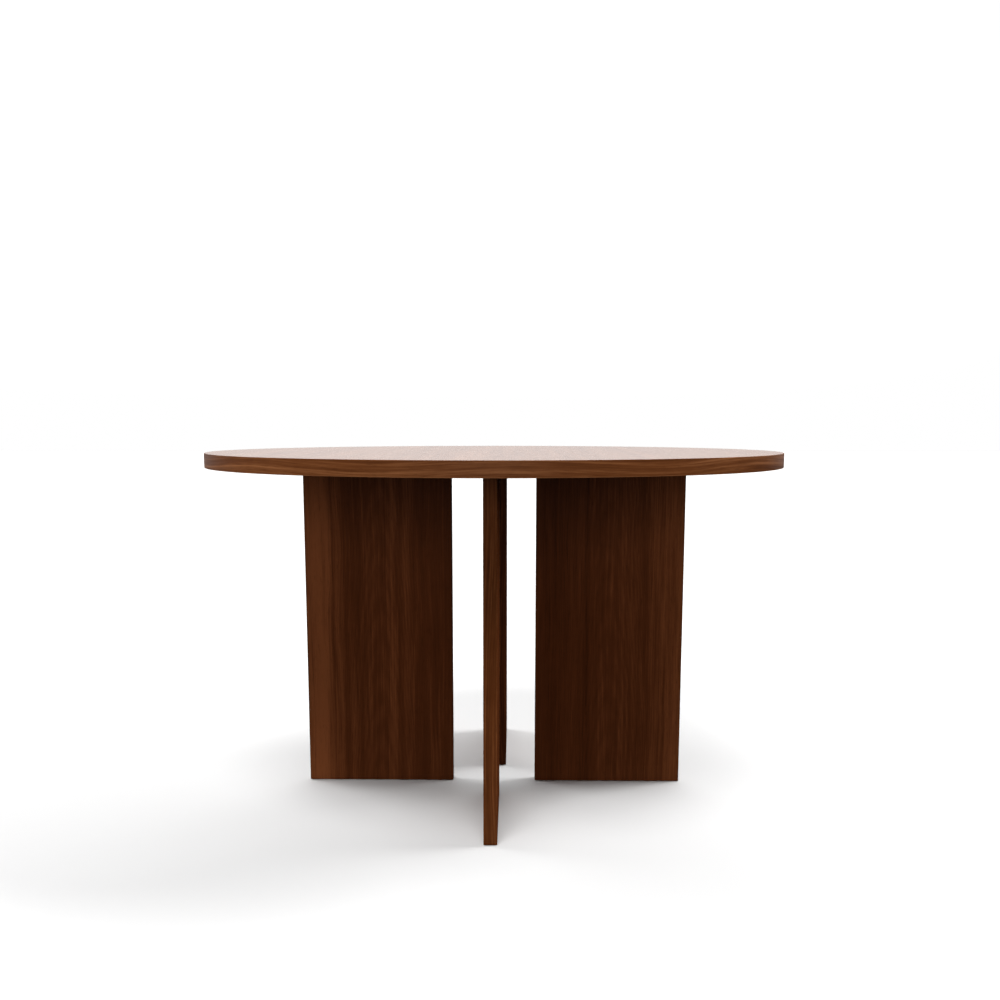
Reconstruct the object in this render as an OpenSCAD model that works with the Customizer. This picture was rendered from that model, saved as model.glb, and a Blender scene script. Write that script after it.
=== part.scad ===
// Round dining table: a veneered disc carried by four separate slab legs.
// Each leg is bolted up through its own steel plate and stands on two screw-adjusted feet.
// Origin: centre of the floor under the table. +Z is up, the front leg points to -Y.

/* [Tabletop] */
// Diameter of the round top
top_d = 1243; // [1100:1:1500]
// Height of the top's upper face above the floor
table_h = 750; // [700:5:780]
// Thickness of the top
top_t = 30; // [26:1:45]

/* [Legs] */
// Distance from the table's axis to a leg's inner edge
leg_inner_r = 93.5; // [70:0.5:110]
// Distance from the table's axis to a leg's outer edge
leg_outer_r = 422.5; // [410:0.5:470]
// Thickness of a leg
leg_t = 27; // [26:0.5:40]
// Gap between the floor and the legs' lower ends
floor_gap = 1.5; // [1:0.5:4]
// How far the rear leg stands to the right of the centre line
rear_shift_x = 13.5; // [-20:0.5:20]
// How much farther from the table's axis the rear leg stands
rear_shift_y = 13.5; // [-10:0.5:20]

/* [Veneer and bands] */
// Thickness of the face veneers
veneer_t = 0.8; // [0.5:0.1:1.2]
// Thickness of the solid bands on the edges
band_t = 2.5; // [2:0.5:4]
// Radius that eases the corners of the bands
ease_r = 1.2; // [0.6:0.1:1.6]

/* [Mounting plates] */
// Length of a plate along its leg
plate_l = 290; // [240:5:300]
// Width of a plate across its leg
plate_w = 96; // [84:2:120]
// Thickness of a plate
plate_t = 5; // [5:0.5:6]
// Distance from a plate's long edge to its row of bolts
bolt_margin = 14; // [12:0.5:16]
// Distance between neighbouring bolts in a row
bolt_pitch = 120; // [90:5:120]
// Distance between neighbouring screws into the leg
screw_pitch = 90; // [60:5:100]

/* [Levelling feet] */
// Distance from a leg's upright edge to a foot's axis
foot_inset = 45; // [30:1:70]
// Diameter of a foot's pad
pad_d = 18; // [16:0.5:20]
// Height of a foot's pad
pad_h = 6; // [5.5:0.5:8]
// Travel of a foot, six turns of its thread
foot_travel = 7.5; // [5:1.25:10]

/* [Hidden] */
$fn = 64;
LEGS = ["right", "rear", "left", "front"];
FEET = ["inner", "outer"];

// Each leg is drawn along +X and turned to its place; shift is [x, y] after turning
leg_turn = [0, 90, 180, 270];
leg_shift = [[0, 0], [rear_shift_x, rear_shift_y], [0, 0], [0, 0]];
leg_mid = (leg_inner_r + leg_outer_r) / 2;
foot_r = [leg_inner_r + foot_inset, leg_outer_r - foot_inset];
screw_at = [for (k = [-1, 0, 1]) leg_mid + k * screw_pitch];
bolt_at = [for (k = [-1, 0, 1], s = [-1, 1]) [leg_mid + k * bolt_pitch, s * (plate_w / 2 - bolt_margin)]];

top_r = top_d / 2;
underside = table_h - top_t;
core_r = top_r - band_t;
leg_top = underside - plate_t;
leg_h = leg_top - floor_gap;

fit_gap = 0.05;           // radial gap round screws, studs and inserts
clearance_r = 0.3;        // radial gap of a bolt in a plain hole
overcut = 1;              // how far a cutter passes the face that it opens
flush_cut = 0.001;        // the same for a countersink, which has to keep its width at the face
corner_r = 8;             // corners of a mounting plate

m8_r = 4;
m8_insert_r = 6;
m8_insert_l = 20;
m8_flange_r = 7.5;
m8_head_r = 8;
m8_head_h = 4;
m8_screw_l = 36;
m8_key = 5;
screw_key_depth = 2.8;
screw_hole_depth = 42;    // below a leg's upper end

m6_r = 3;
m6_insert_r = 5;
m6_insert_l = 15;
m6_flange_r = 6.5;
m6_head_r = 6;
m6_head_h = 3.4;
m6_bolt_l = 16;
m6_key = 4;
m6_washer_r = 7.5;
m6_washer_t = 1.2;
bolt_hole_depth = 18;     // above the underside

flange_t = 1.2;           // collar of both sizes of insert

recess_gap = 0.5;         // between a pad and its recess
recess_r = pad_d / 2 + recess_gap;
recess_top = pad_h;       // the pad's upper face stops here when the foot is screwed in
head_r = 6;               // round head that turns inside a pad
head_h = 2.4;
head_z = 2;               // underside of that head above the floor
key_depth = 1.8;
key_hole_r = 3.5;         // hole in a pad's sole that lets a key through
stud_spare = 4.9;         // thread left past the insert when the foot is right out
hole_spare = 2;           // empty end of a stud's hole
shank_top = recess_top + m8_insert_l + foot_travel + stud_spare;
stud_hole_top = shank_top + hole_spare;

WALNUT = "#5b3017";
WALNUT_BAND = "#6d3f20";
BACKING = "#6a4326";
BOARD = "#b89468";
STEEL = "#3b3c3f";
ZINC = "#b4b7bb";
BRASS = "#b59a4c";
NYLON = "#2a2a2b";

// Puts something drawn along +X onto leg i
module on_leg(i) {
    translate(leg_shift[i]) rotate(leg_turn[i]) children();
}

// Flat strip standing on edge, with two of its corners eased; x runs from 0 to t, y from -w/2 to w/2
module eased_strip(t, w, r) {
    translate([0, -w / 2]) square([t - r, w]);
    translate([0, r - w / 2]) square([t, w - 2 * r]);
    for (s = [-1, 1]) translate([t - r, s * (w / 2 - r)]) circle(r);
}

module rounded_rect(l, w, r) {
    square([l - 2 * r, w], center = true);
    square([l, w - 2 * r], center = true);
    for (x = [-1, 1], y = [-1, 1]) translate([x * (l / 2 - r), y * (w / 2 - r)]) circle(r);
}

module hex_key(across, depth) {
    cylinder(d = across / cos(30), h = depth, $fn = 6);
}

// Threaded insert with its collar at z = 0 and its sleeve above it
module insert(sleeve_r, flange_r, length, bore_r) {
    difference() {
        union() {
            cylinder(r = flange_r, h = flange_t);
            cylinder(r = sleeve_r, h = length);
        }
        translate([0, 0, -overcut]) cylinder(r = bore_r + fit_gap, h = length + 2 * overcut);
    }
}

// Hole that takes an insert whose collar lies at z = 0 and opens downwards
module insert_hole(sleeve_r, flange_r, length, depth, tip_r) {
    translate([0, 0, -overcut]) cylinder(r = flange_r + fit_gap, h = flange_t + overcut);
    translate([0, 0, -overcut]) cylinder(r = sleeve_r + fit_gap, h = length + overcut);
    cylinder(r = tip_r + clearance_r, h = depth);
}

module m8_insert_hole(depth) {
    insert_hole(m8_insert_r, m8_flange_r, m8_insert_l, depth, m8_r);
}

module m8_insert() {
    insert(m8_insert_r, m8_flange_r, m8_insert_l, m8_r);
}

// Places of the bolts of leg i's plate, at the underside of the top
module at_bolts(i) {
    on_leg(i) for (p = bolt_at) translate([p.x, p.y, underside]) children();
}

// Places of the screws down into leg i, at the leg's upper end
module at_screws(i) {
    on_leg(i) for (x = screw_at) translate([x, 0, leg_top]) children();
}

module tabletop_holes() {
    for (i = [0:3]) at_bolts(i)
        insert_hole(m6_insert_r, m6_flange_r, m6_insert_l, bolt_hole_depth, m6_r);
}

module tabletop_core() {
    color(BOARD) difference() {
        translate([0, 0, underside + veneer_t]) cylinder(r = core_r, h = top_t - 2 * veneer_t, $fn = 180);
        tabletop_holes();
    }
}

module tabletop_veneer() {
    color(WALNUT) translate([0, 0, table_h - veneer_t]) cylinder(r = core_r, h = veneer_t, $fn = 180);
}

module tabletop_backing_veneer() {
    color(BACKING) difference() {
        translate([0, 0, underside]) cylinder(r = core_r, h = veneer_t, $fn = 180);
        tabletop_holes();
    }
}

module tabletop_edge_band() {
    color(WALNUT_BAND) translate([0, 0, underside + top_t / 2])
        rotate_extrude($fn = 180) translate([core_r, 0]) eased_strip(band_t, top_t, ease_r);
}

module tabletop_inserts() {
    color(BRASS) for (i = [0:3]) at_bolts(i)
        insert(m6_insert_r, m6_flange_r, m6_insert_l, m6_r);
}

module leg_core(i) {
    core_l = leg_outer_r - leg_inner_r - 2 * band_t;
    core_t = leg_t - 2 * veneer_t;
    color(BOARD) difference() {
        on_leg(i) translate([leg_inner_r + band_t, -core_t / 2, floor_gap]) cube([core_l, core_t, leg_h]);
        at_screws(i) mirror([0, 0, 1]) m8_insert_hole(screw_hole_depth);
        on_leg(i) for (r = foot_r) translate([r, 0, 0]) {
            cylinder(r = recess_r, h = recess_top);
            translate([0, 0, recess_top]) m8_insert_hole(stud_hole_top - recess_top);
        }
    }
}

// side is 1 for veneer a and -1 for veneer b
module leg_veneer(i, side) {
    veneer_l = leg_outer_r - leg_inner_r - 2 * band_t;
    color(WALNUT) on_leg(i)
        translate([leg_inner_r + band_t, side * (leg_t - veneer_t) / 2 - veneer_t / 2, floor_gap])
            cube([veneer_l, veneer_t, leg_h]);
}

module leg_outer_band(i) {
    color(WALNUT_BAND) on_leg(i) translate([leg_outer_r - band_t, 0, floor_gap])
        linear_extrude(leg_h) eased_strip(band_t, leg_t, ease_r);
}

module leg_inner_band(i) {
    color(WALNUT_BAND) on_leg(i) translate([leg_inner_r + band_t, 0, floor_gap])
        linear_extrude(leg_h) mirror([1, 0]) eased_strip(band_t, leg_t, ease_r);
}

module leg_plate(i) {
    color(STEEL) difference() {
        on_leg(i) translate([leg_mid, 0, leg_top])
            linear_extrude(plate_t) rounded_rect(plate_l, plate_w, corner_r);
        at_screws(i) {
            translate([0, 0, -overcut]) cylinder(r = m8_r + clearance_r, h = plate_t + 2 * overcut);
            translate([0, 0, plate_t - m8_head_h])
                cylinder(r1 = m8_r + clearance_r, r2 = m8_head_r + clearance_r, h = m8_head_h + flush_cut);
        }
        at_bolts(i) translate([0, 0, -plate_t - overcut])
            cylinder(r = m6_r + clearance_r, h = plate_t + 2 * overcut);
    }
}

module leg_inserts(i) {
    color(BRASS) {
        at_screws(i) mirror([0, 0, 1]) m8_insert();
        on_leg(i) for (r = foot_r) translate([r, 0, recess_top]) m8_insert();
    }
}

// Countersunk screws, flush with the plate's upper face
module leg_screws(i) {
    color(ZINC) at_screws(i) difference() {
        union() {
            translate([0, 0, plate_t - m8_head_h]) cylinder(r1 = m8_r, r2 = m8_head_r, h = m8_head_h);
            translate([0, 0, plate_t - m8_screw_l]) cylinder(r = m8_r, h = m8_screw_l - m8_head_h);
        }
        translate([0, 0, plate_t - screw_key_depth]) hex_key(m8_key, screw_key_depth + overcut);
    }
}

// Button-head bolts and their washers' shape in one, up through the plate into the top
module leg_bolts(i) {
    color(ZINC) at_bolts(i) mirror([0, 0, 1]) translate([0, 0, plate_t]) difference() {
        union() {
            cylinder(r = m6_washer_r, h = m6_washer_t);
            translate([0, 0, m6_washer_t]) cylinder(r = m6_head_r, h = m6_head_h);
            translate([0, 0, -m6_bolt_l]) cylinder(r = m6_r, h = m6_bolt_l);
        }
        translate([0, 0, m6_washer_t + m6_head_h - key_depth]) hex_key(m6_key, key_depth + overcut);
    }
}

// Round head that turns in the pad, key socket below it, plain shank for the thread above it
module foot_stud(i, r) {
    color(ZINC) on_leg(i) translate([r, 0, head_z]) difference() {
        union() {
            cylinder(r = head_r, h = head_h);
            translate([0, 0, head_h]) cylinder(r = m8_r, h = shank_top - head_z - head_h);
        }
        translate([0, 0, -overcut]) hex_key(m8_key, key_depth + overcut);
    }
}

// Pad that holds the stud's head; the hole in its sole lets a key reach the socket
module foot_pad(i, r) {
    color(NYLON) on_leg(i) translate([r, 0, 0]) difference() {
        cylinder(r = pad_d / 2, h = pad_h);
        translate([0, 0, -overcut]) cylinder(r = key_hole_r, h = pad_h);
        translate([0, 0, head_z - fit_gap]) cylinder(r = head_r + fit_gap, h = head_h + 2 * fit_gap);
        translate([0, 0, head_z]) cylinder(r = m8_r + fit_gap, h = pad_h);
    }
}

tabletop_core();
tabletop_veneer();
tabletop_backing_veneer();
tabletop_edge_band();
tabletop_inserts();
for (i = [0:3]) {
    leg = str(LEGS[i], "_leg_");
    leg_core(i);
    leg_veneer(i, 1);
    leg_veneer(i, -1);
    leg_inner_band(i);
    leg_outer_band(i);
    leg_plate(i);
    leg_inserts(i);
    leg_screws(i);
    leg_bolts(i);
    for (f = [0:1]) {
        foot = str(LEGS[i], "_", FEET[f], "_foot_");
        foot_stud(i, foot_r[f]);
        foot_pad(i, foot_r[f]);
    }
}
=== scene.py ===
import math

import bpy
from mathutils import Euler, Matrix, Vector


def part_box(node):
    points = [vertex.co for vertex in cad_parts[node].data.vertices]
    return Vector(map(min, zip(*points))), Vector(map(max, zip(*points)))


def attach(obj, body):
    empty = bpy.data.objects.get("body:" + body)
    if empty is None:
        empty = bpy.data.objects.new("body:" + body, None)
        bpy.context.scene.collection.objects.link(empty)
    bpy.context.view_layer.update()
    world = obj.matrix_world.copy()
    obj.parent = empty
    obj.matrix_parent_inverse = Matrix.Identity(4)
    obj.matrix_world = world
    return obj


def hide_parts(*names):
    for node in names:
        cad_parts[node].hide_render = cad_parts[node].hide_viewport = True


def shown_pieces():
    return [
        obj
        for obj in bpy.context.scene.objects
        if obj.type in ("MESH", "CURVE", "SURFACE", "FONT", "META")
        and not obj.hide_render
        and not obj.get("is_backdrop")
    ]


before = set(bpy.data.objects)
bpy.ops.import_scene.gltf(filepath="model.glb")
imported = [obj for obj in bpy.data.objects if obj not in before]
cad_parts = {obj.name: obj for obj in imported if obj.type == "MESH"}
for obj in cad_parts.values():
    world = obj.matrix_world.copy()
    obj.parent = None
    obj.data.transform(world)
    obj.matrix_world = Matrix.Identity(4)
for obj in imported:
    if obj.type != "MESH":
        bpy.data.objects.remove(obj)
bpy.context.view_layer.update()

# ---------------------------------------------------------------- sizes, in metres
MM = 0.001
RIM_SEGMENTS = 480
ROUND_SEGMENTS = 48           # a multiple of 6, so that a hexagon's corners fall on it
THREAD_ROWS_PER_TURN = 8
GROOVE_PEAK, GROOVE_SLOPE = 1.3, 2.99   # a groove's depth falls at this slope from its middle, cut flat at 1
M8_PITCH = 1.25 * MM
M6_PITCH = 1.0 * MM
FLOOR_HALF = 30.0
FLOOR_ALBEDO = 0.8
KNEE = Vector((0.0, 0.0, 0.35))   # the middle of the open space, which the lamps point at
BEHIND = (-0.1, 0.995, 0.0)   # from the table to the middle of the bright wall that its polish reflects

LEGS = {                      # direction from the table's axis to the leg
    "right": Vector((1, 0)),
    "rear": Vector((0, 1)),
    "left": Vector((-1, 0)),
    "front": Vector((0, -1)),
}
FEET = ("inner", "outer")

band_low, band_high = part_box("tabletop_edge_band")
core_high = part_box("tabletop_core")[1]
veneer_low, veneer_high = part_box("tabletop_veneer")
TOP_R = min(-band_low.x, -band_low.y, band_high.x, band_high.y)
CORE_R = core_high.x
TOP_Z = band_high.z
UNDERSIDE_Z = band_low.z
PLATE_LOW = {leg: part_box(f"{leg}_leg_plate")[0].z for leg in LEGS}


# ---------------------------------------------------------------- shader helpers
def add_node(tree, kind, inputs=None, **settings):
    """A new node. settings set its properties, and inputs its sockets by name or index, from a value or from
    another node's output."""
    node = tree.nodes.new(kind)
    for key, value in settings.items():
        setattr(node, key, value)
    for key, value in (inputs or {}).items():
        if isinstance(value, bpy.types.NodeSocket):
            tree.links.new(value, node.inputs[key])
        else:
            node.inputs[key].default_value = value
    return node


def math_node(tree, operation, a, b=0.0, clamp=False):
    return add_node(tree, "ShaderNodeMath", {0: a, 1: b}, operation=operation, use_clamp=clamp).outputs[0]


def add(tree, a, b, clamp=False):
    return math_node(tree, "ADD", a, b, clamp)


def subtract(tree, a, b):
    return math_node(tree, "SUBTRACT", a, b)


def multiply(tree, a, b):
    return math_node(tree, "MULTIPLY", a, b)


def object_coordinates(tree):
    return tree.nodes.new("ShaderNodeTexCoord").outputs["Object"]


def scaled(tree, vector, scale):
    return add_node(tree, "ShaderNodeVectorMath", {0: vector, 1: scale}, operation="MULTIPLY").outputs[0]


def noise(tree, vector, scale, detail=3.0, roughness=0.5, distortion=0.0):
    inputs = {
        "Vector": scaled(tree, vector, scale),
        "Scale": 1.0,
        "Detail": detail,
        "Roughness": roughness,
        "Distortion": distortion,
    }
    return add_node(tree, "ShaderNodeTexNoise", inputs).outputs["Fac"]


def spread(tree, value, low, high, to_low=0.0, to_high=1.0):
    """value taken from low..high to to_low..to_high, clamped and smooth at both ends."""
    inputs = {"Value": value, "From Min": low, "From Max": high, "To Min": to_low, "To Max": to_high}
    return add_node(tree, "ShaderNodeMapRange", inputs, interpolation_type="SMOOTHSTEP").outputs["Result"]


def ramp(tree, value, stops):
    node = add_node(tree, "ShaderNodeValToRGB", {"Fac": value})
    while len(node.color_ramp.elements) < len(stops):
        node.color_ramp.elements.new(0.5)
    for element, (place, colour) in zip(node.color_ramp.elements, stops):
        element.position = place
        element.color = (*colour, 1.0)
    return node.outputs["Color"]


def mixed(tree, factor, a, b):
    inputs = {"Factor": factor, 6: a, 7: b}
    return add_node(tree, "ShaderNodeMix", inputs, data_type="RGBA").outputs[2]


def new_material(name):
    """A material with a Principled shader, its node tree and the shader."""
    material = bpy.data.materials.new(name)
    material.use_nodes = True
    tree = material.node_tree
    tree.nodes.clear()
    shader = tree.nodes.new("ShaderNodeBsdfPrincipled")
    output = tree.nodes.new("ShaderNodeOutputMaterial")
    tree.links.new(shader.outputs[0], output.inputs[0])
    return material, tree, shader


def add_bump(tree, shader, height, strength, distance):
    inputs = {"Height": height, "Strength": strength, "Distance": distance}
    bump = add_node(tree, "ShaderNodeBump", inputs)
    tree.links.new(bump.outputs[0], shader.inputs["Normal"])


# ---------------------------------------------------------------- walnut
LEG_TONES = ((0.044, 0.0110, 0.0032), (0.100, 0.0270, 0.0085), (0.230, 0.0700, 0.0235))
RIM_TONES = ((0.066, 0.0185, 0.0054), (0.132, 0.0420, 0.0128), (0.252, 0.0960, 0.0355))
# the band walnut made darker with painted shade, for the inner bands, which face the middle under the top
SHADED_INNER_TONES = ((0.028, 0.0068, 0.0020), (0.066, 0.0168, 0.0052), (0.150, 0.0440, 0.0145))
BAND_TONES = ((0.066, 0.0170, 0.0045), (0.132, 0.0385, 0.0108), (0.250, 0.0880, 0.0300))
TOP_TONES = ((0.110, 0.0380, 0.0170), (0.190, 0.0760, 0.0360), (0.300, 0.1350, 0.0700))
BACK_TONES = ((0.075, 0.0290, 0.0120), (0.140, 0.0580, 0.0250), (0.230, 0.1080, 0.0500))

# how strongly each layer of the figure changes the tone
BROAD_GAIN, NARROW_GAIN, FIBRE_GAIN, MOTTLE_GAIN = 0.55, 0.45, 0.80, 0.16
RING_CURVE = 30.0             # how quickly the growth rings crowd together away from the middle
RING_DRIFT = 0.35             # how much they shift along the grain
RINGS_PER_UNIT = 40.0
PORE_DARKENING = 0.5


def grain_axes(tree, direction):
    """Coordinates across the grain and along it, in metres, for a sheet whose grain runs that way."""
    x, y, z = add_node(tree, "ShaderNodeSeparateXYZ", {0: object_coordinates(tree)}).outputs
    if direction == "round the rim":
        from_front = math_node(tree, "ARCTAN2", x, multiply(tree, y, -1.0))
        return z, multiply(tree, from_front, TOP_R)
    return {"up, across x": (x, z), "up, across y": (y, z), "front to back": (x, y)}[direction]


def waved(tree, across, along, height, period, first):
    """across, bent so that the grain climbs by height and falls again every period, from a low at first."""
    turn = multiply(tree, subtract(tree, along, first), math.tau / period)
    climb = multiply(tree, subtract(tree, 1.0, math_node(tree, "COSINE", turn)), height / 2)
    return subtract(tree, across, climb)


def centred_noise(tree, across, along, seed, scales, detail=2.0, roughness=0.5):
    """Noise round 0 with its own scale across the grain and along it."""
    space = add_node(tree, "ShaderNodeCombineXYZ", {0: across, 1: along, 2: seed}).outputs[0]
    return subtract(tree, noise(tree, space, (*scales, 1.0), detail, roughness), 0.5)


def leaf_tone(tree, across, first_joint, width, strength):
    """A small step of tone from one veneer leaf to the next."""
    leaf = math_node(tree, "DIVIDE", subtract(tree, across, first_joint), width)
    number = add(tree, math_node(tree, "FLOOR", leaf), 0.37)
    tone = add_node(tree, "ShaderNodeTexWhiteNoise", {"W": number}, noise_dimensions="1D").outputs["Value"]
    return multiply(tree, subtract(tree, tone, 0.5), strength)


def streak(tree, across, along, centre, half_width, sway, seed):
    """1 along the middle of a soft streak that sways as it runs along the grain, 0 away from it."""
    wander = centred_noise(tree, seed, along, seed, (1.0, 3.0), 1.0)
    middle = add(tree, multiply(tree, wander, sway), centre)
    distance = math_node(tree, "ABSOLUTE", subtract(tree, across, middle))
    return spread(tree, distance, 0.0, half_width, 1.0, 0.0)


def walnut(name, direction, tones, seed, *, width=0.045, contrast=1.0, figure=0.03, arch_centre=0.0,
           wave=None, streaks_and_painted_light=(), leaves=None, painted_arris_highlight=None, specular=0.2, roughness=(0.26, 0.36), bump=0.12):
    """Walnut veneer. tones are its dark, middle and light colours, width how wide its usual streak is, in
    metres, figure the strength of its arched growth rings, and wave (height, period, first low) for a grain
    that climbs. The single bands at chosen places are (centre, half width, sway, gain) across the sheet; some
    are the wood's own figure, and some are painted light or painted shade. The line along an arris, (place,
    half width, gain) across the sheet, is a painted highlight, paler than the wood."""
    material, tree, shader = new_material(name)
    flat_across, along = grain_axes(tree, direction)
    across = waved(tree, flat_across, along, *wave) if wave else flat_across
    bend = centred_noise(tree, across, along, seed + 0.5, (6.0, 2.2))
    bent = add(tree, across, multiply(tree, bend, 0.5 * width))

    # growth rings: nested arches round the middle of the sheet, bent by slow noise
    from_centre = subtract(tree, bent, arch_centre)
    arch = multiply(tree, math_node(tree, "POWER", from_centre, 2.0), RING_CURVE)
    ring_place = add(tree, arch, multiply(tree, along, RING_DRIFT))
    rings = math_node(tree, "SINE", multiply(tree, ring_place, RINGS_PER_UNIT * math.tau))

    # broad bands, narrow bands, fibres, a fine mottle and the pores; scales are across and along, per metre
    broad = centred_noise(tree, bent, along, seed, (1.0 / width, 0.7))
    narrow = centred_noise(tree, bent, along, seed + 1.5, (4.5 / width, 1.6), 3.0, 0.6)
    fibre = centred_noise(tree, bent, along, seed + 2.5, (330.0, 6.0), 3.0, 0.7)
    mottle = centred_noise(tree, bent, along, seed + 3.5, (45.0, 16.0), 3.0, 0.6)
    pores = spread(tree, centred_noise(tree, bent, along, seed + 4.5, (1400.0, 42.0), 2.0), 0.1, 0.22)

    tone = multiply(tree, rings, figure)
    layers = ((broad, BROAD_GAIN), (narrow, NARROW_GAIN), (fibre, FIBRE_GAIN), (mottle, MOTTLE_GAIN))
    for layer, gain in layers:
        tone = add(tree, tone, multiply(tree, layer, gain * contrast))
    # soft bands of tone: the wood's own figure, and at some places painted light or painted shade
    for number, (centre, half_width, sway, gain) in enumerate(streaks_and_painted_light):
        line = streak(tree, bent, along, centre, half_width, sway, seed + number)
        tone = add(tree, tone, multiply(tree, line, gain))
    if leaves:
        tone = add(tree, tone, leaf_tone(tree, across, *leaves))
    # a pale line along an arris: a painted highlight
    if painted_arris_highlight:
        place, half_width, gain = painted_arris_highlight
        line = streak(tree, flat_across, along, place, half_width, 0.0, seed)
        tone = add(tree, tone, multiply(tree, line, gain))
    tone = add(tree, tone, 0.5, clamp=True)

    dark, middle, light = tones
    colour = ramp(tree, tone, ((0.1, dark), (0.5, middle), (0.9, light)))
    pore_colour = (*(c * PORE_DARKENING for c in dark), 1.0)
    colour = mixed(tree, multiply(tree, pores, 0.5), colour, pore_colour)
    tree.links.new(colour, shader.inputs["Base Color"])
    tree.links.new(spread(tree, fibre, -0.3, 0.3, roughness[1], roughness[0]), shader.inputs["Roughness"])
    shader.inputs["Specular IOR Level"].default_value = specular
    relief = subtract(tree, multiply(tree, fibre, 0.5), pores)
    add_bump(tree, shader, relief, bump, 0.0002)
    return material


# ---------------------------------------------------------------- the other materials
def fibreboard(name):
    """Raw board: pale, with pressed chips and a little fuzz."""
    material, tree, shader = new_material(name)
    coords = object_coordinates(tree)
    chips = noise(tree, coords, (260.0, 260.0, 520.0), 5.0, 0.65)
    stops = ((0.3, (0.25, 0.16, 0.085)), (0.55, (0.42, 0.29, 0.165)), (0.75, (0.56, 0.42, 0.26)))
    colour = ramp(tree, chips, stops)
    tree.links.new(colour, shader.inputs["Base Color"])
    tree.links.new(spread(tree, chips, 0.3, 0.7, 0.9, 0.72), shader.inputs["Roughness"])
    add_bump(tree, shader, chips, 0.35, 0.0003)
    return material


def powder_coat(name):
    """Black powder-coated steel with a fine orange peel."""
    material, tree, shader = new_material(name)
    coords = object_coordinates(tree)
    peel = noise(tree, coords, (700.0, 700.0, 700.0), 2.0)
    wear = noise(tree, coords, (35.0, 35.0, 35.0), 4.0, 0.6)
    colour = ramp(tree, wear, ((0.3, (0.017, 0.017, 0.018)), (0.7, (0.032, 0.032, 0.034))))
    tree.links.new(colour, shader.inputs["Base Color"])
    tree.links.new(spread(tree, peel, 0.3, 0.7, 0.42, 0.58), shader.inputs["Roughness"])
    add_bump(tree, shader, peel, 0.25, 0.0002)
    return material


def metal(name, dark, light, roughness, scratch_scale=(300.0, 300.0, 30.0)):
    """Plated or turned metal: fine scratches and a slight change of tone."""
    material, tree, shader = new_material(name)
    coords = object_coordinates(tree)
    scratches = noise(tree, coords, scratch_scale, 3.0, 0.6)
    tone = noise(tree, coords, (90.0, 90.0, 90.0), 3.0)
    colour = ramp(tree, tone, ((0.3, dark), (0.7, light)))
    tree.links.new(colour, shader.inputs["Base Color"])
    tree.links.new(spread(tree, scratches, 0.3, 0.7, *roughness), shader.inputs["Roughness"])
    shader.inputs["Metallic"].default_value = 1.0
    add_bump(tree, shader, scratches, 0.1, 0.0001)
    return material


def moulded_nylon(name):
    material, tree, shader = new_material(name)
    coords = object_coordinates(tree)
    grain = noise(tree, coords, (900.0, 900.0, 900.0), 3.0, 0.6)
    scuffs = noise(tree, coords, (160.0, 160.0, 160.0), 4.0, 0.65)
    colour = ramp(tree, scuffs, ((0.35, (0.014, 0.014, 0.015)), (0.75, (0.036, 0.035, 0.034))))
    tree.links.new(colour, shader.inputs["Base Color"])
    tree.links.new(spread(tree, grain, 0.3, 0.7, 0.5, 0.72), shader.inputs["Roughness"])
    add_bump(tree, shader, grain, 0.3, 0.0002)
    return material


# ---------------------------------------------------------------- mesh helpers
def new_piece(name, verts, faces, material, body, replaced, smooth_angle=35.0):
    mesh = bpy.data.meshes.new(name)
    mesh.from_pydata(verts, [], faces)
    mesh.validate()
    mesh.update()
    mesh.shade_smooth()
    mesh.set_sharp_from_angle(angle=math.radians(smooth_angle))
    mesh.materials.append(material)
    piece = bpy.data.objects.new(name, mesh)
    bpy.context.scene.collection.objects.link(piece)
    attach(piece, body)
    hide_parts(replaced)
    return piece


def at(value, angle):
    """A radius or height that is either a number or a function of the angle."""
    return value(angle) if callable(value) else value


def revolve(rings, centre=(0.0, 0.0, 0.0), segments=ROUND_SEGMENTS, loop=False):
    """Closed solid of revolution: rings are (radius, height) from the bottom's middle out, up and back to the
    top's middle, or, with loop, once round a section. A radius or height may be a function of the angle."""
    cx, cy, cz = centre
    verts, faces = [], []
    angles = [math.tau * k / segments for k in range(segments)]
    for radius, height in rings:
        for angle in angles:
            r = at(radius, angle)
            verts.append((cx + r * math.cos(angle), cy + r * math.sin(angle), cz + at(height, angle)))
    count = len(rings)
    for row in range(count if loop else count - 1):
        lower, upper = row * segments, ((row + 1) % count) * segments
        for k in range(segments):
            n = (k + 1) % segments
            faces.append((lower + k, lower + n, upper + n, upper + k))
    if not loop:
        faces.append(tuple(range(segments - 1, -1, -1)))
        faces.append(tuple((count - 1) * segments + k for k in range(segments)))
    return verts, faces


def joined(solids):
    verts, faces = [], []
    for part_verts, part_faces in solids:
        start = len(verts)
        verts += part_verts
        faces += [tuple(start + i for i in face) for face in part_faces]
    return verts, faces


def flipped(solid):
    """The solid turned inside out, for a section that was listed the other way round."""
    verts, faces = solid
    return verts, [tuple(reversed(face)) for face in faces]


def hexagon(across):
    """Radius of a hexagon that far across its flats, by angle."""
    return lambda angle: across / 2 / math.cos((angle % (math.pi / 3)) - math.pi / 6)


def thread(radius, depth, pitch, start, stop, lead_in):
    """Rings of a right-hand thread from start up to stop, fading out over lead_in at each end."""
    rows = max(2, round((stop - start) / pitch * THREAD_ROWS_PER_TURN))
    rings = []
    for row in range(rows + 1):
        height = start + (stop - start) * row / rows

        def ring(angle, height=height):
            phase = (height / pitch - angle / math.tau) % 1.0
            groove = max(0.0, min(1.0, GROOVE_PEAK - GROOVE_SLOPE * abs(phase - 0.5)))
            fade = min(1.0, (height - start) / lead_in + 0.02, (stop - height) / lead_in + 0.02)
            return radius - depth * max(groove, 1.0 - fade)

        rings.append((ring, height))
    return rings


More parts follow.
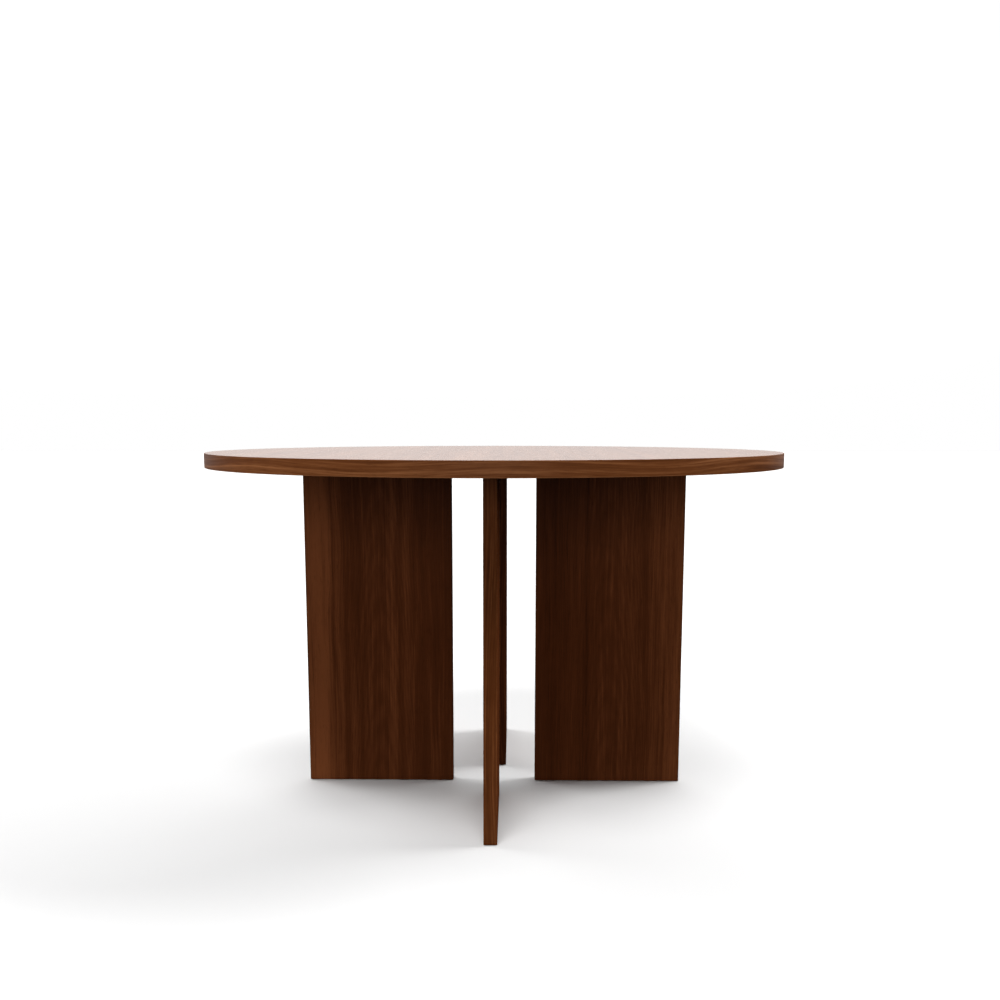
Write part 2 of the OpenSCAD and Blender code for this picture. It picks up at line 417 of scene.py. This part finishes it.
def arc(centre_r, centre_z, radius, start_deg, stop_deg, steps=5):
    turns = [math.radians(start_deg + (stop_deg - start_deg) * k / steps) for k in range(steps + 1)]
    return [(centre_r + radius * math.cos(t), centre_z + radius * math.sin(t)) for t in turns]


# ---------------------------------------------------------------- tabletop
def make_edge_band(material):
    """The rim: a band with eased arrises, turned finely enough to look round close up."""
    ease = 1.2 * MM
    section = [(CORE_R, UNDERSIDE_Z)]
    section += arc(TOP_R - ease, UNDERSIDE_Z + ease, ease, -90, 0, 6)
    section += arc(TOP_R - ease, TOP_Z - ease, ease, 0, 90, 6)
    section += [(CORE_R, TOP_Z)]
    verts, faces = revolve(section, segments=RIM_SEGMENTS, loop=True)
    return new_piece("edge_band", verts, faces, material, "table", "tabletop_edge_band")


def make_top_veneer(material):
    """The face veneer as one flat sheet, closed, with enough rings to stay smooth."""
    rings = [(CORE_R * k / 6, veneer_low.z) for k in range(1, 7)]
    rings += [(CORE_R * k / 6, veneer_high.z) for k in range(6, 0, -1)]
    verts, faces = revolve(rings, segments=RIM_SEGMENTS)
    return new_piece("top_veneer", verts, faces, material, "table", "tabletop_veneer")


# ---------------------------------------------------------------- hardware
def spots(node, margin, along_count, across_count, direction):
    """Middles of a node's identical solids, in rows along and across the leg, found from the node's box."""
    low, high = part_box(node)
    counts = (along_count, across_count) if abs(direction.x) > 0.5 else (across_count, along_count)

    def places(lowest, highest, count):
        if count == 1:
            return [(lowest + highest) / 2]
        first, last = lowest + margin, highest - margin
        return [first + (last - first) * k / (count - 1) for k in range(count)]

    return [(px, py) for px in places(low.x, high.x, counts[0]) for py in places(low.y, high.y, counts[1])]


def make_bolts(leg, direction, material):
    """Button-head bolts with washers, up through the plate into the top."""
    node = f"{leg}_leg_bolts"
    low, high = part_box(node)
    washer_r, washer_t, head_r, key = 7.5 * MM, 1.2 * MM, 6 * MM, hexagon(4 * MM)
    solids = []
    for px, py in spots(node, washer_r, 3, 2, direction):
        head_top = low.z
        seat = PLATE_LOW[leg]
        rings = [(0.3 * MM, head_top + 1.8 * MM), (key, head_top + 1.8 * MM), (key, head_top + 0.15 * MM)]
        rings += [(2.9 * MM, head_top), (3.6 * MM, head_top + 0.05 * MM)]
        rings += [(head_r - 1.0 * MM, head_top + 0.9 * MM), (head_r - 0.25 * MM, head_top + 2.0 * MM)]
        rings += [(head_r, head_top + 2.9 * MM), (head_r, seat - washer_t)]
        rings += [(washer_r - 0.2 * MM, seat - washer_t), (washer_r, seat - washer_t + 0.2 * MM)]
        rings += [(washer_r, seat - 0.15 * MM), (washer_r - 0.15 * MM, seat)]
        rings += thread(3.0 * MM, 0.45 * MM, M6_PITCH, seat, high.z, 0.8 * MM)
        solids.append(revolve(rings, (px, py, 0.0)))
    verts, faces = joined(solids)
    return new_piece(f"{leg}_bolts", verts, faces, material, "table", node)


def make_screws(leg, direction, material):
    """Countersunk screws down through the plate into the leg's end."""
    node = f"{leg}_leg_screws"
    low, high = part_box(node)
    head_r, shank_r, head_h = 8 * MM, 4 * MM, 4 * MM
    key, key_depth = hexagon(5 * MM), 2.8 * MM
    solids = []
    for px, py in spots(node, head_r, 3, 1, direction):
        rings = thread(shank_r, 0.6 * MM, M8_PITCH, low.z, high.z - head_h, 1.0 * MM)
        rings += [(head_r - 0.15 * MM, high.z - 0.2 * MM), (head_r - 0.3 * MM, high.z)]
        rings += [(3.1 * MM, high.z), (key, high.z - 0.15 * MM), (key, high.z - key_depth)]
        rings += [(0.3 * MM, high.z - key_depth)]
        solids.append(revolve(rings, (px, py, 0.0)))
    verts, faces = joined(solids)
    return new_piece(f"{leg}_screws", verts, faces, material, "table", node)


def insert_rings(sleeve_r, flange_r, bore_r, mouth, tip, upwards):
    """Section of a threaded insert from its collar at mouth to its end at tip, ribbed outside."""
    step = 1 if upwards else -1
    flange = 1.2 * MM
    ribs = 7
    outer = []
    for k in range(ribs):
        start = mouth + step * (flange + (abs(tip - mouth) - flange) * k / ribs)
        stop = mouth + step * (flange + (abs(tip - mouth) - flange) * (k + 0.75) / ribs)
        outer += [(sleeve_r - 0.5 * MM, start), (sleeve_r, start + step * 0.5 * MM), (sleeve_r, stop)]
    rings = [(bore_r + 0.3 * MM, mouth), (flange_r - 0.15 * MM, mouth), (flange_r, mouth + step * 0.2 * MM)]
    rings += [(flange_r, mouth + step * flange)] + outer
    rings += [(sleeve_r - 0.6 * MM, tip), (bore_r, tip), (bore_r, mouth + step * 0.3 * MM)]
    return rings


def make_leg_inserts(leg, direction, material):
    """Three inserts in the leg's upper end and one over each foot."""
    node = f"{leg}_leg_inserts"
    low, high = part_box(node)
    solids = []
    for px, py in spots(f"{leg}_leg_screws", 8 * MM, 3, 1, direction):
        rings = insert_rings(6 * MM, 7.5 * MM, 4.05 * MM, high.z, high.z - 20 * MM, False)
        solids.append(flipped(revolve(rings, (px, py, 0.0), loop=True)))
    for foot in FEET:
        pad_low, pad_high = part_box(f"{leg}_{foot}_foot_pad")
        middle = (pad_low + pad_high) / 2
        rings = insert_rings(6 * MM, 7.5 * MM, 4.05 * MM, low.z, low.z + 20 * MM, True)
        solids.append(revolve(rings, (middle.x, middle.y, 0.0), loop=True))
    verts, faces = joined(solids)
    return new_piece(f"{leg}_inserts", verts, faces, material, "table", node)


def make_top_inserts(material):
    """The inserts over all the plates' bolts."""
    low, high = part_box("tabletop_inserts")
    solids = []
    for leg, direction in LEGS.items():
        for px, py in spots(f"{leg}_leg_bolts", 7.5 * MM, 3, 2, direction):
            rings = insert_rings(5 * MM, 6.5 * MM, 3.05 * MM, low.z, high.z, True)
            solids.append(revolve(rings, (px, py, 0.0), loop=True))
    verts, faces = joined(solids)
    return new_piece("top_inserts", verts, faces, material, "table", "tabletop_inserts")


def make_foot(leg, foot, zinc, nylon):
    """Stud with a real thread, and the pad that holds its head."""
    stud_node, pad_node = f"{leg}_{foot}_foot_stud", f"{leg}_{foot}_foot_pad"
    low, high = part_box(stud_node)
    middle = (low + high) / 2
    key, head_r, head_top = hexagon(5 * MM), 6 * MM, low.z + 2.4 * MM
    rings = [(0.3 * MM, low.z + 1.8 * MM), (key, low.z + 1.8 * MM), (key, low.z + 0.1 * MM)]
    rings += [(3.2 * MM, low.z)]
    rings += [(head_r - 0.3 * MM, low.z), (head_r, low.z + 0.3 * MM), (head_r, head_top - 0.3 * MM)]
    rings += [(head_r - 0.3 * MM, head_top)]
    rings += thread(4.0 * MM, 0.6 * MM, M8_PITCH, head_top, high.z, 1.0 * MM)
    verts, faces = revolve(rings, (middle.x, middle.y, 0.0))
    new_piece(f"{leg}_{foot}_stud", verts, faces, zinc, f"{leg}_{foot}_stud", stud_node)

    low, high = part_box(pad_node)
    outer_r = (high.x - low.x) / 2
    pocket_low, pocket_high = low.z + 1.95 * MM, low.z + 4.45 * MM
    section = [(3.5 * MM, low.z + 0.2 * MM), (3.7 * MM, low.z), (outer_r - 0.8 * MM, low.z)]
    section += arc(outer_r - 0.8 * MM, low.z + 0.8 * MM, 0.8 * MM, -90, 0, 5)[1:]
    section += arc(outer_r - 0.6 * MM, high.z - 0.6 * MM, 0.6 * MM, 0, 90, 4)
    section += [(4.3 * MM, high.z), (4.05 * MM, high.z - 0.25 * MM), (4.05 * MM, pocket_high)]
    section += [(6.05 * MM, pocket_high), (6.05 * MM, pocket_low), (3.5 * MM, pocket_low)]
    verts, faces = revolve(section, (middle.x, middle.y, 0.0), loop=True)
    new_piece(f"{leg}_{foot}_pad", verts, faces, nylon, f"{leg}_{foot}_pad", pad_node)


# ---------------------------------------------------------------- assembling the looks
def paint(node, material):
    """Gives a CAD node its material and keeps its shape."""
    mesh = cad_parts[node].data
    mesh.materials.clear()
    mesh.materials.append(material)


def flatten_shading(node):
    """Keeps a CAD node's flat faces flat beside their eased corners."""
    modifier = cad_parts[node].modifiers.new("Flat_faces", "WEIGHTED_NORMAL")
    modifier.weight = 100
    modifier.keep_sharp = True


def dress_table():
    board = fibreboard("Fibreboard")
    steel = powder_coat("Black_powder_coat")
    zinc = metal("Zinc_plate", (0.40, 0.42, 0.45), (0.62, 0.64, 0.66), (0.25, 0.42))
    brass = metal("Turned_brass", (0.50, 0.33, 0.11), (0.72, 0.52, 0.21), (0.22, 0.38))
    nylon = moulded_nylon("Black_nylon")

    # Two pale bands along the rim's lower edge: a painted highlight of the light that edge catches from
    # below.
    rim_painted_highlights = ((UNDERSIDE_Z + 0.005, 0.006, 0.02, 0.14), (UNDERSIDE_Z - 0.007, 0.005, 0.02, 0.10))
    rim = walnut(
        "Walnut_rim", "round the rim", RIM_TONES, 3.1, width=0.012, contrast=1.4, figure=0.0,
        # the pale line along the lower arris is a painted highlight
        wave=(0.010, 0.524, -0.218), streaks_and_painted_light=rim_painted_highlights, painted_arris_highlight=(UNDERSIDE_Z, 0.0024, 0.6),
        specular=0.12, roughness=(0.40, 0.50))
    make_edge_band(rim)

    # leaves are the first joint between two of them, their width and how much they differ
    top = walnut(
        "Walnut_top", "front to back", TOP_TONES, 7.7, leaves=(-0.07, 0.34, 0.16),
        specular=0.6, roughness=(0.25, 0.28), bump=0.02)
    make_top_veneer(top)
    backing = walnut(
        "Walnut_backing", "front to back", BACK_TONES, 12.3, leaves=(0.05, 0.28, 0.2), roughness=(0.5, 0.7))
    paint("tabletop_backing_veneer", backing)
    paint("tabletop_core", board)
    make_top_inserts(brass)

    leg_low, leg_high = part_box("left_leg_core")
    outer, inner = leg_low.x, leg_high.x
    # Soft bands on two leg faces. Most are the veneer's own figure. The broad pale bands at the side legs'
    # outer edges are painted light, and the broad dark band over the right leg's inner part is painted shade.
    face_streaks_and_painted_light = {
        "left_leg_veneer_a": (
            # broad pale band at the outer edge: painted light
            (outer + 0.022, 0.052, 0.006, 0.42),
            (outer + 0.054, 0.006, 0.004, -0.12),
            (outer + 0.070, 0.014, 0.020, 0.14),
            (outer + 0.192, 0.014, 0.016, 0.12),
            (outer + 0.258, 0.022, 0.020, -0.12),
        ),
        "right_leg_veneer_b": (
            # broad dark band over the inner part, shaded by the front leg and the top: painted shade
            (-inner + 0.040, 0.110, 0.010, -0.18),
            (-inner + 0.110, 0.010, 0.006, -0.16),
            (-inner + 0.150, 0.030, 0.020, 0.05),
            # broad pale band at the outer edge: painted light
            (-outer - 0.015, 0.085, 0.010, 0.24),
        ),
    }
    for number, (leg, direction) in enumerate(LEGS.items()):
        paint(f"{leg}_leg_core", board)
        paint(f"{leg}_leg_plate", steel)
        along_x = leg in ("left", "right")
        face, edge = ("up, across x", "up, across y") if along_x else ("up, across y", "up, across x")
        centre = (inner + outer) / 2 * (1 if leg in ("left", "front") else -1)
        for side, letter in enumerate("ab"):
            node = f"{leg}_leg_veneer_{letter}"
            seed = 20.0 + 7 * number + 3 * side
            panel = walnut(
                f"Walnut_{leg}_{letter}", face, LEG_TONES, seed, arch_centre=centre, contrast=0.9,
                streaks_and_painted_light=face_streaks_and_painted_light.get(node, ()), specular=0.0 if leg == "front" else 0.05)
            paint(node, panel)
        for side, place in enumerate(("inner", "outer")):
            node = f"{leg}_leg_{place}_band"
            seed = 60.0 + 5 * number + 2 * side
            # inner bands take the darker tones: painted shade
            tones = BAND_TONES if place == "outer" else SHADED_INNER_TONES
            band = walnut(
                f"Walnut_{leg}_{place}_band", edge, tones, seed, width=0.012, contrast=1.5, figure=0.0,
                wave=(0.012, 0.9, 0.2), specular=0.05)
            paint(node, band)
            flatten_shading(node)
        make_screws(leg, direction, zinc)
        make_bolts(leg, direction, zinc)
        make_leg_inserts(leg, direction, brass)
        for foot in FEET:
            make_foot(leg, foot, zinc, nylon)


# ---------------------------------------------------------------- stage, lights and camera
def make_floor():
    mesh = bpy.data.meshes.new("floor")
    s = FLOOR_HALF
    mesh.from_pydata([(-s, -s, 0), (s, -s, 0), (s, s, 0), (-s, s, 0)], [], [(0, 1, 2, 3)])
    floor = bpy.data.objects.new("floor", mesh)
    bpy.context.scene.collection.objects.link(floor)
    material, _, shader = new_material("Pale_floor")
    shader.inputs["Base Color"].default_value = (FLOOR_ALBEDO, FLOOR_ALBEDO, FLOOR_ALBEDO, 1.0)
    shader.inputs["Roughness"].default_value = 1.0
    shader.inputs["Specular IOR Level"].default_value = 0.0
    mesh.materials.append(material)
    floor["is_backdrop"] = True
    floor.visible_diffuse = False
    floor.visible_glossy = False
    return floor


def make_world():
    """White where the camera sees it; what the polish reflects is bright behind the table, dark before it."""
    world = bpy.data.worlds.new("Studio")
    world.use_nodes = True
    tree = world.node_tree
    tree.nodes.clear()
    direction = tree.nodes.new("ShaderNodeTexCoord").outputs["Generated"]
    inputs = {0: direction, 1: BEHIND}
    behind = add_node(tree, "ShaderNodeVectorMath", inputs, operation="DOT_PRODUCT").outputs["Value"]
    height = add_node(tree, "ShaderNodeSeparateXYZ", {0: direction}).outputs[2]
    above_floor = spread(tree, height, -0.2, 0.1)
    reflected = multiply(tree, spread(tree, behind, 0.4, 1.0, 0.0, 1.2), above_floor)
    seen = tree.nodes.new("ShaderNodeLightPath").outputs["Is Camera Ray"]
    strength = math_node(tree, "MAXIMUM", reflected, seen)
    background = add_node(tree, "ShaderNodeBackground", {"Color": (1.0, 1.0, 1.0, 1.0), "Strength": strength})
    output = tree.nodes.new("ShaderNodeOutputWorld")
    tree.links.new(background.outputs[0], output.inputs[0])
    bpy.context.scene.world = world
    world.cycles_visibility.diffuse = False


def towards(azimuth, elevation):
    """Unit vector from the table to a place in the studio; azimuth 0 is in front of it, 90 to its right."""
    a, e = math.radians(azimuth), math.radians(elevation)
    return Vector((math.sin(a) * math.cos(e), -math.cos(a) * math.cos(e), math.sin(e)))


def add_lamp(name, kind, direction, distance, receivers):
    lamp = bpy.data.objects.new(name, bpy.data.lights.new(name, kind))
    lamp.location = KNEE + direction * distance
    lamp.rotation_euler = direction.to_track_quat("Z", "Y").to_euler()
    bpy.context.scene.collection.objects.link(lamp)
    lamp.visible_camera = False
    lamp.visible_glossy = False
    lamp.light_linking.receiver_collection = receivers
    return lamp


def wide_sun(name, azimuth, elevation, spread_deg, share, receivers):
    """Even light over the whole floor; share is its part of a white floor's brightness."""
    direction = towards(azimuth, elevation)
    lamp = add_lamp(name, "SUN", direction, 6.0, receivers)
    lamp.data.angle = math.radians(spread_deg)
    lamp.data.energy = share * math.pi / FLOOR_ALBEDO / direction.z


def softbox(name, azimuth, elevation, distance, size, power, receivers):
    lamp = add_lamp(name, "AREA", towards(azimuth, elevation), distance, receivers)
    lamp.data.shape = "RECTANGLE"
    lamp.data.size, lamp.data.size_y = size
    lamp.data.energy = power


def make_lights(floor):
    on_floor = bpy.data.collections.new("Lit_floor")
    on_floor.objects.link(floor)
    wide_sun("Floor_front", -9, 58, 32, 0.46, on_floor)
    wide_sun("Floor_back", 171, 16, 90, 0.255, on_floor)
    wide_sun("Floor_left", 241, 43, 28, 0.243, on_floor)
    wide_sun("Floor_right", 108, 45, 24, 0.357, on_floor)

    on_table = bpy.data.collections.new("Lit_table")
    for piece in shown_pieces():
        on_table.objects.link(piece)
    softbox("Table_key", -8, 56, 5.0, (1.6, 1.2), 145.0, on_table)
    softbox("Table_fill", 0, 10, 5.0, (3.0, 2.0), 73.0, on_table)
    softbox("Table_left", -90, 20, 4.5, (2.0, 2.0), 125.0, on_table)
    softbox("Table_right", 90, 20, 4.5, (2.0, 2.0), 126.0, on_table)
    softbox("Table_back", 180, 20, 5.0, (5.0, 2.0), 110.0, on_table)
    softbox("Table_above", 180, 80, 4.0, (3.0, 3.0), 110.0, on_table)
    softbox("Table_bounce", 0, -90, 0.34, (2.5, 2.5), 1.5, on_table)


def make_camera():
    """Standing in front of the table, a little to its right, just above the top and looking slightly down."""
    camera_data = bpy.data.cameras.new("Camera")
    camera_data.sensor_width = 36.0
    camera_data.lens = 40.907
    camera_data.shift_x = 0.006
    camera_data.shift_y = 0.1068
    camera = bpy.data.objects.new("Camera", camera_data)
    camera.location = (0.0436, -2.5298, 0.8113)
    tilt_down, turn_left = math.radians(9.18), math.radians(0.99)
    camera.rotation_euler = Euler((math.radians(90) - tilt_down, 0.0, turn_left))
    bpy.context.scene.collection.objects.link(camera)
    bpy.context.scene.camera = camera


dress_table()
make_world()
make_lights(make_floor())
make_camera()
bpy.context.scene.view_settings.view_transform = "Standard"
